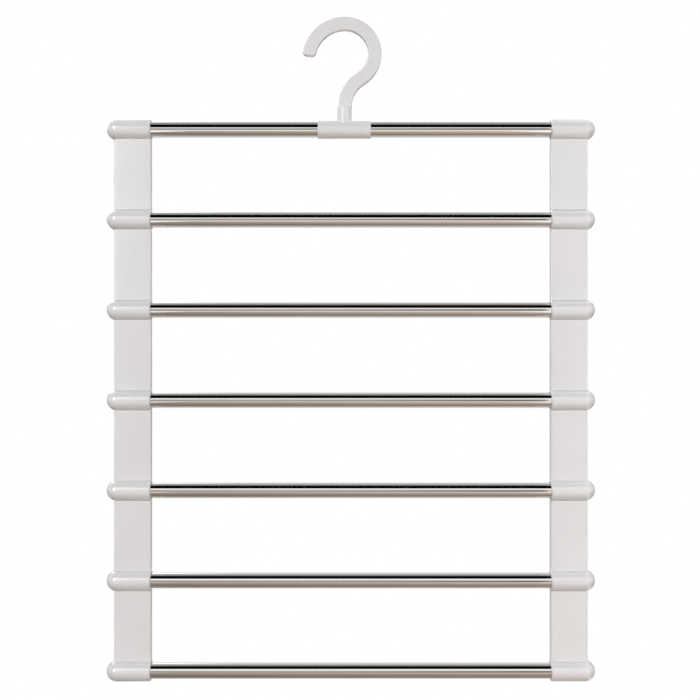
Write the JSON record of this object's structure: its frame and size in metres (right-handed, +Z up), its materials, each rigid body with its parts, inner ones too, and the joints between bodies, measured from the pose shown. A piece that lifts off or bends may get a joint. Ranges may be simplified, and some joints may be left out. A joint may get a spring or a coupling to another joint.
{
  "type": "multi-tier pants hanger",
  "caption": "Flat ladder-shaped trouser hanger: polished steel tubes between white moulded sleeves and side panels, hung from a swivelling hook on a sliding saddle.",
  "frame": {"origin": "centre of the hook's eye, on the axis of a rail that fills it", "axes": "+Z up, +X along the tubes to the right as seen from the front, +Y from the front to the back, along the rail"},
  "size_m": [0.394, 0.0168, 0.5364],
  "materials": {
    "white_plastic": "injection-moulded off-white plastic with a soft satin gloss",
    "polished_steel": "bright polished stainless steel tube, fine polishing lines along its length"
  },
  "bodies": {
    "hook": {"hook": "white_plastic"},
    "saddle": {"saddle": "white_plastic"},
    "top_tube": {"tube_1": "polished_steel"},
    "frame": {"tube_2": "polished_steel", "tube_3": "polished_steel", "tube_4": "polished_steel", "tube_5": "polished_steel", "tube_6": "polished_steel", "tube_7": "polished_steel", "left_sleeve_1": "white_plastic", "right_sleeve_1": "white_plastic", "left_sleeve_2": "white_plastic", "right_sleeve_2": "white_plastic", "left_sleeve_3": "white_plastic", "right_sleeve_3": "white_plastic", "left_sleeve_4": "white_plastic", "right_sleeve_4": "white_plastic", "left_sleeve_5": "white_plastic", "right_sleeve_5": "white_plastic", "left_sleeve_6": "white_plastic", "right_sleeve_6": "white_plastic", "left_sleeve_7": "white_plastic", "right_sleeve_7": "white_plastic", "left_panel_1": "white_plastic", "right_panel_1": "white_plastic", "left_panel_2": "white_plastic", "right_panel_2": "white_plastic", "left_panel_3": "white_plastic", "right_panel_3": "white_plastic", "left_panel_4": "white_plastic", "right_panel_4": "white_plastic", "left_panel_5": "white_plastic", "right_panel_5": "white_plastic", "left_panel_6": "white_plastic", "right_panel_6": "white_plastic"}
  },
  "joints": [
    {"name": "hook_swivel", "type": "hinge", "parent": "hook", "child": "saddle", "pos_m": [-0.0006, 0, -0.0433], "axis": [0, 0, 1], "continuous": true},
    {"name": "saddle_slide", "type": "slide", "parent": "saddle", "child": "top_tube", "axis": [1, 0, 0], "range_m": [-0.1448, 0.1342]},
    {"name": "frame_tilt", "type": "hinge", "parent": "top_tube", "child": "frame", "pos_m": [0.0047, 0, -0.0615], "axis": [1, 0, 0], "range_deg": [-135, 135]}
  ]
}
